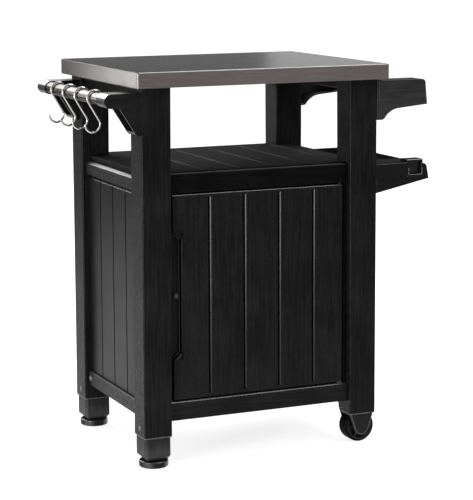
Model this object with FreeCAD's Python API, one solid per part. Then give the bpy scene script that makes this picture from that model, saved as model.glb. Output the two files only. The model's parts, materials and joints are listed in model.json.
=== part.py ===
import FreeCAD, Part
import math
import os

os.makedirs("parts", exist_ok=True)

# A rolling preparation cart with storage: a folded steel worktop on four square
# hollow legs, an open shelf, a closed cupboard, a tool rail with hooks on the
# left, and two arms with a roll rod above a tray on the right.
# Millimetres. X to the right, Y to the back, Z up. The origin lies on the floor
# under the middle of the worktop.

X_AXIS = FreeCAD.Vector(1, 0, 0)
Y_AXIS = FreeCAD.Vector(0, 1, 0)
Z_AXIS = FreeCAD.Vector(0, 0, 1)
ORIGIN = FreeCAD.Vector(0, 0, 0)

# Fits
turn_clearance = 0.05
slide_clearance = 0.05
seat_clearance = 0.05

# Worktop
top_height = 900.0
top_width = 621.5
top_depth = 518.0
top_thickness = 35.5
top_sheet = 1.2
top_corner_radius = 4.0
top_edge_radius = 2.5
core_recess_depth = 29.0
core_rim = 46.0
core_rib = 12.0
top_underside = top_height - top_thickness

# Legs
leg_side = 67.0
leg_flare = 3.5
leg_wall = 3.2
leg_edge_radius = 4.0
side_overhang = 17.75
front_overhang = 25.0
leg_outer_x = top_width / 2 - side_overhang
leg_outer_y = top_depth / 2 - front_overhang
leg_bottom = 73.0
leg_inner_x = leg_outer_x - leg_side
leg_inner_y = leg_outer_y - leg_side
leg_centre_x = leg_outer_x - leg_side / 2
leg_centre_y = leg_outer_y - leg_side / 2
wheel_leg_chamfer = 19.0

# Foot blocks and levelling feet
block_side = 63.0
block_bottom = 20.0
block_chamfer = 6.5
block_edge_radius = 8.0
plug_height = 42.0
plug_side = leg_side - 2 * leg_wall - 2 * seat_clearance
stem_radius = 6.0
stem_rise = 3.0
stem_top = leg_bottom + stem_rise
stem_room = 4.0
foot_radius = 33.75
foot_height = 15.0
foot_edge_radius = 3.0

# Wheels
wheel_radius = 37.5
wheel_width = 36.0
wheel_edge_radius = 4.0
tread_thickness = 5.0
tread_groove_width = 3.0
tread_groove_depth = 1.5
hub_width = 41.0
hub_boss_radius = 11.0
hub_recess_depth = 9.0
hub_rim = 5.0
hub_spokes = 6
hub_spoke_width = 5.0
arch_clearance = 3.5
cheek_thickness = 10.0
cheek_end_radius = 18.5
cheek_edge_radius = 5.0
axle_radius = 4.0
axle_cover = 3.0

# Side aprons and back apron under the worktop
apron_thickness = 16.0
apron_height = 32.0
apron_inset = 9.0

# Middle shelf
shelf_top = 672.0
shelf_thickness = 12.0
shelf_underside = shelf_top - shelf_thickness
board_pitch = 87.0
shelf_joints = (-2.5, -1.5, -0.5, 0.5, 1.5, 2.5)
door_joints = (-1.5, -0.5, 0.5, 1.5)
side_joints = (-1, 0, 1)
groove_width = 4.0
groove_depth = 3.0
board_bevel = 2.75
board_gap = 2.0
board_gap_depth = 2.0
face_inset = 12.0
side_inset = 9.0
side_face = leg_outer_x - side_inset
front_face = leg_outer_y - face_inset
header_depth = 27.0
header_height = 47.0
header_bottom = shelf_top - header_height
header_edge_radius = 8.0
side_rail_height = 32.0
side_rail_top = shelf_underside
side_rail_bottom = side_rail_top - side_rail_height
side_rail_thickness = 20.0
side_rail_bevel = 6.5
shelf_lap = 6.0

# Cupboard
low_rail_bottom = 104.0
low_rail_height = 44.0
low_rail_top = low_rail_bottom + low_rail_height
low_rail_depth = 26.0
low_side_rail_drop = 4.0
low_side_rail_height = 34.0
low_side_rail_top = low_rail_top - low_side_rail_drop
low_side_rail_bottom = low_side_rail_top - low_side_rail_height
low_rail_bevel = 3.0
panel_inset = 7.0
panel_thickness = 9.0
plank_layer = 5.0
plank_bevel = 3.0
plank_gap = 8.0
plank_top = side_rail_bottom - plank_gap
side_plank_pitch = 83.5
floor_thickness = 10.0
inner_shelf_rise = 238.0
inner_shelf_top = low_side_rail_top + inner_shelf_rise
inner_shelf_thickness = 10.0
inner_shelf_front_gap = 60.0
cleat_height = 15.0
cleat_width = 15.0
door_side_gap = 10.0
door_edge_gap = 1.5
jamb_width = door_side_gap - door_edge_gap
jamb_recess = 8.0
jamb_depth = 15.0
strike_reach = 6.5
strike_thickness = 5.0

# Door
door_half_width = leg_inner_x - door_side_gap
door_thickness = 18.0
door_gap = 4.0
door_bottom = low_rail_top + door_gap
door_top = header_bottom - door_gap
door_groove_end = 8.0
door_board_shift = 3.8
door_edge_bevel = 2.0
door_pin_radius = 4.0
door_pin_reach = 14.0
door_pin_room = 1.0
door_field_depth = 9.0
door_field_rim = 26.0
door_field_rib = 10.0
door_fields_up = 3
door_collar_radius = 8.0
grip_width = 20.0
grip_top = 539.0
grip_bottom = 241.0
grip_depth = 14.5
grip_edge_bevel = 2.5
latch_height = 390.0
latch_knob_radius = 7.5
latch_knob_height = 7.0
latch_knob_rounding = 1.0
latch_slot_width = 1.6
latch_slot_depth = 1.5
latch_shaft_radius = 3.5
latch_cam_reach = 14.0
latch_cam_width = 9.0
latch_cam_thickness = 4.0
latch_gap = 1.0

# Tool rail on the left
rail_radius = 14.0
rail_wall = 1.5
rail_reach = 70.0
rail_drop = 27.5
rail_x = -leg_outer_x - rail_reach
rail_z = top_underside - rail_drop
rail_boss_radius = 16.0
bracket_depth = 54.0
bracket_wall = 4.0
bracket_drop = 106.5
bracket_bottom = top_underside - bracket_drop
bracket_knee_x = 20.0
bracket_knee_z = -17.5
bracket_heel_x = -16.5
bracket_heel_z = 9.0
bracket_bend_x = -12.0
bracket_bend_z = 3.0
bracket_toe_x = -5.0
bracket_slot_reach = 8.0
seam_offset = 4.0
seam_width = 1.5

# Hooks
hook_wire = 5.0
hook_loop_clearance = 0.6
hook_lower_radius = 17.6
hook_lower_drop = 59.5
hook_lower_shift = -5.0
hook_upper_end = -15.0
hook_lower_end = -175.0
hook_places = (127.0, 43.0, -40.0, -127.0)

# Arms and roll rod on the right
arm_wall = 4.0
arm_drop = 5.5
arm_height = 91.5
arm_top = top_underside - arm_drop
arm_bottom = arm_top - arm_height
arm_nose_start = (120.0, 0.0)
arm_nose_bend = (126.0, -2.5)
arm_nose_end = (128.5, -9.0)
arm_tip = (133.0, -59.0)
arm_throat_start = (55.0, -66.0)
arm_throat_bend = (34.0, -74.0)
arm_throat_end = (19.0, -89.5)
arm_foot_x = 14.0
rod_radius = 12.0
rod_reach = 100.0
rod_drop = 33.0
rod_x = leg_outer_x + rod_reach
rod_z = arm_top - rod_drop
rod_boss_radius = 16.0
rod_end_play = 1.0

# Tray on the right
tray_rear = leg_inner_y
tray_wall = 4.0
tray_cut_reach = 10.0
tray_top = 660.0
tray_well_depth = 23.0
tray_floor = tray_top - tray_well_depth
tray_floor_thickness = 4.0
tray_inner_height = 64.0
tray_outer_height = 36.0
tray_inner_bottom = tray_top - tray_inner_height
tray_outer_bottom = tray_top - tray_outer_height
tray_top_reach = 133.0
tray_bottom_reach = 139.0
tray_outer_top_x = leg_outer_x + tray_top_reach
tray_outer_bottom_x = leg_outer_x + tray_bottom_reach
tray_corner = 5.0
tray_rear_drop = 3.0
tray_ledge_depth = 90.0
tray_ledge_rise = 3.0
tray_tab_rise = 8.0
tray_tab_height = 36.0
tray_tab_bottom = tray_inner_bottom + tray_tab_rise
tray_tab_top = tray_tab_bottom + tray_tab_height
tray_tab_length = 58.0
hood_outer_gap = 10.5
hood_width = 41.5
hood_right = tray_outer_top_x - hood_outer_gap
hood_left = hood_right - hood_width
hood_depth = 33.0
hood_rise = 11.0
hood_top = tray_top + hood_rise
hood_wall = 3.0
opener_drop = 25.0
opener_bottom = tray_top - opener_drop
opener_depth = 12.0
opener_plate = 2.5
opener_lip = 4.0
opener_setback = 1.0
sill_height = 5.0
sill_reach = 2.5

# Screws
screw_room = 1.0
screw_head_radius = 5.0
screw_head_height = 1.6
screw_shank_radius = 2.5
screw_length = 12.0
foot_screw_rise = 18.0
foot_screw_height = leg_bottom + foot_screw_rise
rail_screw_inset = 14.0
rail_screw_height = (low_side_rail_top + low_side_rail_bottom) / 2


def block(x0, x1, y0, y1, z0, z1):
    """A box between two corners."""
    return Part.makeBox(x1 - x0, y1 - y0, z1 - z0, FreeCAD.Vector(x0, y0, z0))


def rod_between(start, axis, radius, length):
    """A round rod from a start point along an axis."""
    return Part.makeCylinder(radius, length, start, axis)


def profile_xz(points, y0, y1, inset=0):
    """A closed outline in the XZ plane, given depth along Y.

    A point with four numbers is reached by an arc: its first two numbers are a
    point on the arc, its last two the end. An inset draws the outline smaller by
    that much all round.
    """
    edges = []
    last = FreeCAD.Vector(points[-1][-2], y0, points[-1][-1])
    for point in points:
        end = FreeCAD.Vector(point[-2], y0, point[-1])
        if len(point) == 4:
            middle = FreeCAD.Vector(point[0], y0, point[1])
            edges.append(Part.Arc(last, middle, end).toShape())
        else:
            edges.append(Part.makeLine(last, end))
        last = end
    outline = Part.Wire(edges)
    if inset:
        outline = outline.makeOffset2D(-inset)
    return Part.Face(outline).extrude(FreeCAD.Vector(0, y1 - y0, 0))


def profile_yz(points, x0, x1):
    """A closed straight outline in the YZ plane, given width along X."""
    corners = [FreeCAD.Vector(x0, y, z) for y, z in points]
    face = Part.Face(Part.makePolygon(corners + corners[:1]))
    return face.extrude(FreeCAD.Vector(x1 - x0, 0, 0))


def edges_along(shape, axis, keep):
    """The straight edges that run along an axis and whose middle passes keep."""
    chosen = []
    for edge in shape.Edges:
        if not isinstance(edge.Curve, Part.Line):
            continue
        along = edge.tangentAt(edge.FirstParameter)
        if abs(abs(along.dot(axis)) - 1) < 1e-6 and keep(edge.CenterOfMass):
            chosen.append(edge)
    return chosen


def mirrored_y(shape):
    """The same shape on the other side of the middle, front to back."""
    return shape.mirror(ORIGIN, Y_AXIS)


def mirrored_x(shape):
    """The same shape on the other side of the middle, left to right."""
    return shape.mirror(ORIGIN, X_AXIS)


def everywhere(point):
    """Keeps every edge."""
    return True


def worktop_sheet():
    """A steel tray turned upside down: a flat top with four folded sides."""
    half_x = top_width / 2
    half_y = top_depth / 2
    outer = block(-half_x, half_x, -half_y, half_y, top_underside, top_height)
    outer = outer.makeFillet(top_corner_radius, edges_along(outer, Z_AXIS, everywhere))
    rim = [edge for edge in outer.Edges if edge.CenterOfMass.z > top_height - 0.01]
    outer = outer.makeFillet(top_edge_radius, rim)
    return outer.cut(worktop_pocket())


def worktop_pocket():
    """The hollow of the folded sheet, which the core fills."""
    half_x = top_width / 2 - top_sheet
    half_y = top_depth / 2 - top_sheet
    pocket = block(-half_x, half_x, -half_y, half_y, top_underside, top_height - top_sheet)
    radius = top_corner_radius - top_sheet
    pocket = pocket.makeFillet(radius, edges_along(pocket, Z_AXIS, everywhere))
    rim = [edge for edge in pocket.Edges if edge.CenterOfMass.z > top_height - top_sheet - 0.01]
    return pocket.makeFillet(top_edge_radius - top_sheet, rim)


def worktop_core():
    """The moulded core under the sheet, with four shallow fields between ribs."""
    core = worktop_pocket()
    field_x = top_width / 2 - core_rim
    field_y = top_depth / 2 - core_rim
    field_top = top_underside + core_recess_depth
    for x0, x1 in ((-field_x, -core_rib / 2), (core_rib / 2, field_x)):
        for y0, y1 in ((-field_y, -core_rib / 2), (core_rib / 2, field_y)):
            core = core.cut(block(x0, x1, y0, y1, top_underside, field_top))
    return core


def leg_envelope():
    """The outside of the front right leg; its two inner faces lean inwards to the top."""
    x = leg_inner_x - leg_flare
    y = -leg_inner_y + leg_flare
    post = block(x, leg_outer_x, -leg_outer_y, y, leg_bottom, top_underside)
    post = post.cut(profile_xz([(x, leg_bottom), (leg_inner_x, leg_bottom), (x, top_underside)],
                               -leg_outer_y, y))
    post = post.cut(profile_yz([(y, leg_bottom), (-leg_inner_y, leg_bottom), (y, top_underside)],
                               x, leg_outer_x))
    upright = [edge for edge in post.Edges if edge.Length > top_underside - leg_bottom - 1]
    return post.makeFillet(leg_edge_radius, upright)


def between_legs(board):
    """A board with its ends trimmed to the leaning faces of the legs."""
    leg = leg_envelope()
    return board.cut([leg, mirrored_y(leg), mirrored_x(leg), turned(leg)])


def leg_post():
    """The front right leg, hollow and open at the bottom."""
    post = leg_envelope()
    hollow = block(leg_inner_x + leg_wall, leg_outer_x - leg_wall,
                   -leg_outer_y + leg_wall, -leg_inner_y - leg_wall,
                   leg_bottom, top_underside - leg_wall)
    return post.cut(hollow)


def leg_plug():
    """The square plug inside the bottom end of the front right leg."""
    half = plug_side / 2
    return block(leg_centre_x - half, leg_centre_x + half,
                 -leg_centre_y - half, -leg_centre_y + half,
                 leg_bottom, leg_bottom + plug_height)


def wheel_leg_corner():
    """The wedge cut from the inner lower corner of a leg that carries a wheel."""
    y = -leg_inner_y
    reach = wheel_leg_chamfer
    points = [(y, leg_bottom), (y, leg_bottom + reach), (y - reach, leg_bottom)]
    return profile_yz(points, leg_inner_x - 1, leg_outer_x + 1)


def foot_screw(outwards):
    """A screw in the outer side of a leg, just above its end, on the right front."""
    return screw(FreeCAD.Vector(leg_outer_x, -leg_centre_y, foot_screw_height), outwards)


def screw(seat, outwards):
    """A round-headed screw; the head sits on the seat and points outwards."""
    head = Part.makeCylinder(screw_head_radius, screw_head_height, seat, outwards)
    rim = [edge for edge in head.Edges
           if (edge.CenterOfMass - seat).dot(outwards) > screw_head_height - 0.01]
    head = head.makeFillet(screw_head_height / 2, rim[:1])
    shank = Part.makeCylinder(screw_shank_radius, screw_length, seat, outwards * -1)
    return head.fuse(shank).removeSplitter()


def screw_hole(seat, outwards):
    """The hole that a screw's shank stands in."""
    radius = screw_shank_radius + seat_clearance
    return Part.makeCylinder(radius, screw_length + screw_room, seat, outwards * -1)


def foot_screw_hole():
    """The hole for that screw, through the leg and the plug in it."""
    seat = FreeCAD.Vector(leg_outer_x, -leg_centre_y, foot_screw_height)
    return screw_hole(seat, X_AXIS)


def wheel_leg():
    """A right leg: its inner lower corner is cut back behind the wheel."""
    return leg_post().cut(wheel_leg_corner()).cut(foot_screw_hole())


def foot_leg():
    """A left leg, shown on the right front place."""
    return leg_post().cut(foot_screw_hole())


def foot_block():
    """The block under a left leg: a plug above and a bored block below."""
    half = block_side / 2
    body = block(leg_centre_x - half, leg_centre_x + half,
                 -leg_centre_y - half, -leg_centre_y + half, block_bottom, leg_bottom)
    body = body.makeFillet(block_edge_radius, edges_along(body, Z_AXIS, everywhere))
    lower = [edge for edge in body.Edges if edge.CenterOfMass.z < block_bottom + 0.01]
    body = body.makeChamfer(block_chamfer, lower)
    bore = rod_between(FreeCAD.Vector(leg_centre_x, -leg_centre_y, block_bottom), Z_AXIS,
                       stem_radius + slide_clearance, stem_top + stem_room - block_bottom)
    return body.fuse(leg_plug()).removeSplitter().cut(bore).cut(foot_screw_hole())


def levelling_foot():
    """A round pad on a stem that runs up into the foot block."""
    base = FreeCAD.Vector(leg_centre_x, -leg_centre_y, 0)
    pad = rod_between(base, Z_AXIS, foot_radius, foot_height)
    rims = [edge for edge in pad.Edges if not isinstance(edge.Curve, Part.Line)]
    pad = pad.makeFillet(foot_edge_radius, rims)
    stem = rod_between(base + Z_AXIS * (foot_height - foot_edge_radius), Z_AXIS, stem_radius,
                       stem_top - foot_height + foot_edge_radius)
    return pad.fuse(stem).removeSplitter()


def wheel_fork():
    """The block under a right leg: two cheeks with the wheel between them.

    From the side a cheek is a circle round the axle with a tangent line up to
    each upper corner. The outer edges of both cheeks are rounded.
    """
    half = block_side / 2
    y0 = -leg_centre_y - half
    y1 = -leg_centre_y + half
    centre = FreeCAD.Vector(leg_centre_x, y0, wheel_radius)
    rise = leg_bottom - wheel_radius
    touch = math.atan2(rise, half) - math.acos(cheek_end_radius / math.hypot(half, rise))
    touch_x = cheek_end_radius * math.cos(touch)
    touch_z = wheel_radius + cheek_end_radius * math.sin(touch)
    points = [(leg_centre_x - half, leg_bottom), (leg_centre_x + half, leg_bottom),
              (leg_centre_x + touch_x, touch_z),
              (leg_centre_x, wheel_radius - cheek_end_radius, leg_centre_x - touch_x, touch_z)]
    body = profile_xz(points, y0, y1)
    outer = [edge for edge in body.Edges
             if edge.BoundBox.YLength < 0.01 and edge.CenterOfMass.z < leg_bottom - 0.01]
    body = body.makeFillet(cheek_edge_radius, outer)
    body = body.fuse(leg_plug()).removeSplitter()
    room = rod_between(centre + Y_AXIS * cheek_thickness, Y_AXIS,
                       wheel_radius + arch_clearance, block_side - 2 * cheek_thickness)
    bore = rod_between(centre + Y_AXIS * axle_cover, Y_AXIS, axle_radius + seat_clearance,
                       block_side - 2 * axle_cover)
    return body.cut(room).cut(bore).cut(wheel_leg_corner()).cut(foot_screw_hole())


def wheel_axle():
    """A plain pin; the cheeks are sprung over its ends and cover them outside."""
    reach = block_side / 2 - axle_cover - seat_clearance
    start = FreeCAD.Vector(leg_centre_x, -leg_centre_y - reach, wheel_radius)
    return rod_between(start, Y_AXIS, axle_radius, 2 * reach)


def wheel_hub():
    """The moulded hub: a rim, a middle web with spokes and a bored boss."""
    rim_radius = wheel_radius - tread_thickness
    centre = FreeCAD.Vector(leg_centre_x, -leg_centre_y, wheel_radius)
    start = centre - Y_AXIS * (wheel_width / 2)
    hub = rod_between(start, Y_AXIS, rim_radius, wheel_width)
    for side in (-1, 1):
        face = centre + Y_AXIS * (side * wheel_width / 2)
        recess = rod_between(face, Y_AXIS * -side, rim_radius - hub_rim, hub_recess_depth)
        hub = hub.cut(recess)
        for number in range(hub_spokes):
            spoke = Part.makeBox(rim_radius - hub_rim / 2, hub_recess_depth, hub_spoke_width)
            y0 = min(0, -side * hub_recess_depth)
            spoke.translate(FreeCAD.Vector(0, y0, -hub_spoke_width / 2))
            spoke.rotate(ORIGIN, Y_AXIS, 360 / hub_spokes * number)
            spoke.translate(face)
            hub = hub.fuse(spoke)
    boss = rod_between(centre - Y_AXIS * (hub_width / 2), Y_AXIS, hub_boss_radius, hub_width)
    bore = rod_between(centre - Y_AXIS * (hub_width / 2), Y_AXIS,
                       axle_radius + turn_clearance, hub_width)
    return hub.fuse(boss).removeSplitter().cut(bore)


def wheel_tread():
    """The rubber ring on the hub, with two grooves round it."""
    start = FreeCAD.Vector(leg_centre_x, -leg_centre_y - wheel_width / 2, wheel_radius)
    ring = rod_between(start, Y_AXIS, wheel_radius, wheel_width)
    rims = [edge for edge in ring.Edges if not isinstance(edge.Curve, Part.Line)]
    ring = ring.makeFillet(wheel_edge_radius, rims)
    ring = ring.cut(rod_between(start, Y_AXIS, wheel_radius - tread_thickness, wheel_width))
    for part in (1, 2):
        y = part * wheel_width / 3 - tread_groove_width / 2
        outer = rod_between(start + Y_AXIS * y, Y_AXIS, wheel_radius, tread_groove_width)
        inner = rod_between(start + Y_AXIS * y, Y_AXIS, wheel_radius - tread_groove_depth,
                            tread_groove_width)
        ring = ring.cut(outer.cut(inner))
    return ring


def side_apron():
    """The board under the worktop between the two right legs."""
    outer = leg_outer_x - apron_inset
    return block(outer - apron_thickness, outer, -leg_inner_y, leg_inner_y,
                 top_underside - apron_height, top_underside)


def back_apron():
    """The board under the worktop between the two back legs."""
    outer = leg_outer_y - apron_inset
    return block(-leg_inner_x, leg_inner_x, outer - apron_thickness, outer,
                 top_underside - apron_height, top_underside)


def board_joint(middle, across, down, along):
    """The channel between two boards: their bevelled edges and a narrow gap.

    It runs from the point middle over the length of the vector along. Across and
    down are unit directions: over the channel, and into the boards.
    """
    outer = board_gap / 2 + board_bevel
    inner = board_gap / 2
    bottom = board_bevel + board_gap_depth
    corners = [middle + across * a + down * d
               for a, d in ((-outer, 0), (outer, 0), (inner, board_bevel), (inner, bottom),
                            (-inner, bottom), (-inner, board_bevel))]
    return Part.Face(Part.makePolygon(corners + corners[:1])).extrude(along)


def shelf_deck():
    """The boards of the open shelf, running front to back."""
    inner_x = side_face - side_rail_thickness + shelf_lap
    inner_y = front_face - header_depth
    deck = block(-inner_x, inner_x, -leg_inner_y, leg_inner_y, shelf_underside, shelf_top)
    deck = deck.fuse(block(-leg_inner_x, leg_inner_x, -inner_y, inner_y,
                           shelf_underside, shelf_top)).removeSplitter()
    for number in shelf_joints:
        start = FreeCAD.Vector(number * board_pitch, -inner_y, shelf_top)
        deck = deck.cut(board_joint(start, X_AXIS, Z_AXIS * -1, Y_AXIS * (2 * inner_y)))
    return deck


def header():
    """The front rail of the shelf, above the door, with a rounded upper edge."""
    rail = block(-leg_inner_x, leg_inner_x, -front_face, -front_face + header_depth,
                 header_bottom, shelf_top)
    nose = edges_along(rail, X_AXIS,
                       lambda p: p.z > shelf_top - 0.01 and p.y < -front_face + 0.01)
    rail = rail.makeFillet(header_edge_radius, nose)
    back_y = -front_face + header_depth
    return rail.cut(block(-leg_inner_x, leg_inner_x, back_y - groove_width, back_y,
                          shelf_top - groove_depth, shelf_top))


def door_pivot(z):
    """The door's turning axis at a height."""
    return FreeCAD.Vector(door_half_width - door_thickness / 2,
                          -front_face + door_thickness / 2, z)


def front_header():
    """The header with the hole for the door's upper pin."""
    hole = rod_between(door_pivot(header_bottom), Z_AXIS, door_pin_radius + turn_clearance,
                       door_pin_reach)
    return header().cut(hole)


def side_rail():
    """The rail beside the shelf boards on the right, with a bevelled edge."""
    rail = block(side_face - side_rail_thickness, side_face, -leg_inner_y, leg_inner_y,
                 side_rail_bottom, side_rail_top)
    edge = edges_along(rail, Y_AXIS,
                       lambda p: p.z > side_rail_top - 0.01 and p.x > side_face - 0.01)
    return rail.makeChamfer(side_rail_bevel, edge)


def side_panel():
    """The planked panel on the right of the cupboard."""
    inner = side_face - panel_inset - panel_thickness
    backing = inner + panel_thickness - plank_layer
    panel = block(inner, backing, -leg_inner_y, leg_inner_y, low_side_rail_top,
                  side_rail_bottom)
    outer = backing + plank_layer
    planks = block(backing, outer, -leg_inner_y, leg_inner_y, low_side_rail_top, plank_top)
    upper = edges_along(planks, Y_AXIS,
                        lambda p: p.z > plank_top - 0.01 and p.x > outer - 0.01)
    panel = panel.fuse(planks.makeChamfer(plank_bevel, upper)).removeSplitter()
    for number in side_joints:
        y = number * side_plank_pitch
        panel = panel.cut(block(outer - groove_depth, outer,
                                y - groove_width / 2, y + groove_width / 2,
                                low_side_rail_top, plank_top))
    return panel


def back_panel():
    """The planked panel at the back of the cupboard."""
    outer = front_face - panel_inset
    inner = outer - panel_thickness
    panel = block(-leg_inner_x, leg_inner_x, inner, outer, low_rail_top, header_bottom)
    for number in door_joints:
        x = number * board_pitch
        panel = panel.cut(block(x - groove_width / 2, x + groove_width / 2,
                                outer - groove_depth, outer, low_rail_top, header_bottom))
    return panel


def low_rail():
    """The lower rail between the front legs."""
    rail = block(-leg_inner_x, leg_inner_x, -front_face, -front_face + low_rail_depth,
                 low_rail_bottom, low_rail_top)
    edge = edges_along(rail, X_AXIS,
                       lambda p: p.z > low_rail_top - 0.01 and p.y < -front_face + 0.01)
    return rail.makeChamfer(low_rail_bevel, edge)


def front_low_rail():
    """The lower front rail with the hole for the door's lower pin."""
    start = door_pivot(low_rail_top - door_pin_reach)
    return low_rail().cut(rod_between(start, Z_AXIS, door_pin_radius + turn_clearance,
                                      door_pin_reach))


def rail_screw_seats():
    """Where the two screws sit on the lower right side rail."""
    y = leg_inner_y - rail_screw_inset
    return [FreeCAD.Vector(side_face, side * y, rail_screw_height) for side in (-1, 1)]


def low_side_rail():
    """The lower rail between the two right legs."""
    rail = block(side_face - low_rail_depth, side_face, -leg_inner_y, leg_inner_y,
                 low_side_rail_bottom, low_side_rail_top)
    edge = edges_along(rail, Y_AXIS,
                       lambda p: p.z > low_side_rail_top - 0.01 and p.x > side_face - 0.01)
    rail = rail.makeChamfer(low_rail_bevel, edge)
    for seat in rail_screw_seats():
        rail = rail.cut(screw_hole(seat, X_AXIS))
    return rail


def cupboard_floor():
    """The floor of the cupboard, between the four lower rails."""
    x = side_face - low_rail_depth
    y = front_face - low_rail_depth
    top = low_side_rail_top
    bottom = top - floor_thickness
    floor = block(-x, x, -leg_inner_y, leg_inner_y, bottom, top)
    return floor.fuse(block(-leg_inner_x, leg_inner_x, -y, y, bottom, top)).removeSplitter()


def inner_shelf():
    """The shelf inside the cupboard; it stops short of the door."""
    x = side_face - panel_inset - panel_thickness
    back = front_face - panel_inset - panel_thickness
    front = -leg_outer_y + inner_shelf_front_gap
    bottom = inner_shelf_top - inner_shelf_thickness
    shelf = block(-x, x, max(front, -leg_inner_y), leg_inner_y, bottom, inner_shelf_top)
    return shelf.fuse(block(-leg_inner_x, leg_inner_x, front, back,
                            bottom, inner_shelf_top)).removeSplitter()


def shelf_cleat():
    """The cleat on the right panel that carries the inner shelf."""
    x = side_face - panel_inset - panel_thickness
    top = inner_shelf_top - inner_shelf_thickness
    return block(x - cleat_width, x, -leg_inner_y, leg_inner_y, top - cleat_height, top)


def jamb():
    """The strip that fills the gap between the door and a leg, on the right."""
    return block(leg_inner_x - jamb_width, leg_inner_x, -front_face + jamb_recess,
                 -front_face + jamb_recess + jamb_depth, low_rail_top, header_bottom)


def strike_jamb():
    """The left strip, with a lip behind the door's edge for the latch."""
    lip_front = -front_face + door_thickness + latch_gap / 2
    lip = block(leg_inner_x - jamb_width - strike_reach, leg_inner_x, lip_front,
                lip_front + strike_thickness, low_rail_top, header_bottom)
    return mirrored_x(jamb().fuse(lip).removeSplitter())


def latch_axis(y):
    """The latch's turning axis at a depth."""
    return FreeCAD.Vector(-door_half_width + grip_width / 2, y, latch_height)


def door_fields():
    """The fields sunk into the back of the door, between its ribs."""
    back = -front_face + door_thickness
    width = 2 * door_half_width - 2 * door_field_rim - grip_width
    height = door_top - door_bottom - 2 * door_field_rim
    step_x = (width + door_field_rib) / 2
    step_z = (height + door_field_rib) / door_fields_up
    left = -door_half_width + door_field_rim + grip_width
    fields = []
    for across in range(2):
        x = left + across * step_x
        for up in range(door_fields_up):
            z = door_bottom + door_field_rim + up * step_z
            fields.append(block(x, x + step_x - door_field_rib, back - door_field_depth, back,
                                z, z + step_z - door_field_rib))
    return group(*fields)


def door():
    """The boarded door, with a round pivot edge on the right and a grip on the left."""
    front = -front_face
    back = front + door_thickness
    pivot = door_pivot(door_bottom)
    leaf = block(-door_half_width, pivot.x, front, back, door_bottom, door_top)
    upper = edges_along(leaf, X_AXIS, lambda p: p.z > door_top - 0.01 and p.y < front + 0.01)
    leaf = leaf.makeChamfer(door_edge_bevel, upper)
    leaf = leaf.fuse(rod_between(pivot, Z_AXIS, door_thickness / 2,
                                 door_top - door_edge_bevel - door_bottom)).removeSplitter()
    groove_length = door_top - door_bottom - 2 * door_groove_end
    for number in door_joints:
        start = FreeCAD.Vector(number * board_pitch + door_board_shift, front,
                               door_bottom + door_groove_end)
        leaf = leaf.cut(board_joint(start, X_AXIS, Y_AXIS, Z_AXIS * groove_length))
    left = -door_half_width
    right = left + grip_width
    grip = profile_xz([(left, grip_bottom), (right, grip_bottom + grip_width),
                       (right, grip_top - grip_width), (left, grip_top)],
                      front, front + grip_depth)
    leaf = leaf.cut(grip)
    grip_edge = [edge for edge in leaf.Edges
                 if edge.BoundBox.YMax < front + 0.01 and edge.BoundBox.XMax < right + 0.01
                 and edge.BoundBox.XMin > left - 0.01
                 and grip_bottom < edge.CenterOfMass.z < grip_top
                 and edge.BoundBox.XMax > left + 0.01]
    leaf = leaf.makeChamfer(grip_edge_bevel, grip_edge).cut(door_fields())
    leaf = leaf.cut(rod_between(latch_axis(front), Y_AXIS, latch_shaft_radius + turn_clearance,
                                door_thickness))
    for start in (door_bottom, door_top - door_pin_reach):
        leaf = leaf.cut(rod_between(door_pivot(start), Z_AXIS, door_pin_radius + seat_clearance,
                                    door_pin_reach))
    return leaf


def door_pins():
    """The two pins that the door turns on; the lower one has a collar."""
    upper_start = door_top - door_pin_reach
    upper_top = header_bottom + door_pin_reach - door_pin_room
    upper = rod_between(door_pivot(upper_start), Z_AXIS, door_pin_radius,
                        upper_top - upper_start)
    lower_start = low_rail_top - door_pin_reach + door_pin_room
    lower = rod_between(door_pivot(lower_start), Z_AXIS, door_pin_radius,
                        door_bottom + door_pin_reach - lower_start)
    collar = rod_between(door_pivot(low_rail_top), Z_AXIS, door_collar_radius,
                         door_bottom - low_rail_top)
    return Part.makeCompound([upper, lower.fuse(collar).removeSplitter()])


def latch():
    """A round knob in the grip, a shaft through the door and a cam behind it."""
    floor_y = -front_face + grip_depth
    back_y = -front_face + door_thickness
    cam_y = back_y + latch_gap + strike_thickness
    knob = rod_between(latch_axis(floor_y - latch_knob_height), Y_AXIS, latch_knob_radius,
                       latch_knob_height)
    rim = [edge for edge in knob.Edges
           if edge.CenterOfMass.y < floor_y - latch_knob_height + 0.01]
    knob = knob.makeFillet(latch_knob_rounding, rim)
    slot = block(-door_half_width, -door_half_width + grip_width,
                 floor_y - latch_knob_height, floor_y - latch_knob_height + latch_slot_depth,
                 latch_height - latch_slot_width / 2, latch_height + latch_slot_width / 2)
    knob = knob.cut(slot)
    shaft = rod_between(latch_axis(floor_y), Y_AXIS, latch_shaft_radius,
                        cam_y + latch_cam_thickness - floor_y)
    half = latch_cam_width / 2
    centre = latch_axis(cam_y)
    cam = block(centre.x - half, centre.x + half, cam_y, cam_y + latch_cam_thickness,
                latch_height - latch_cam_reach, latch_height)
    cam = cam.fuse(rod_between(centre, Y_AXIS, half, latch_cam_thickness))
    return knob.fuse(shaft).fuse(cam).removeSplitter()


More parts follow.
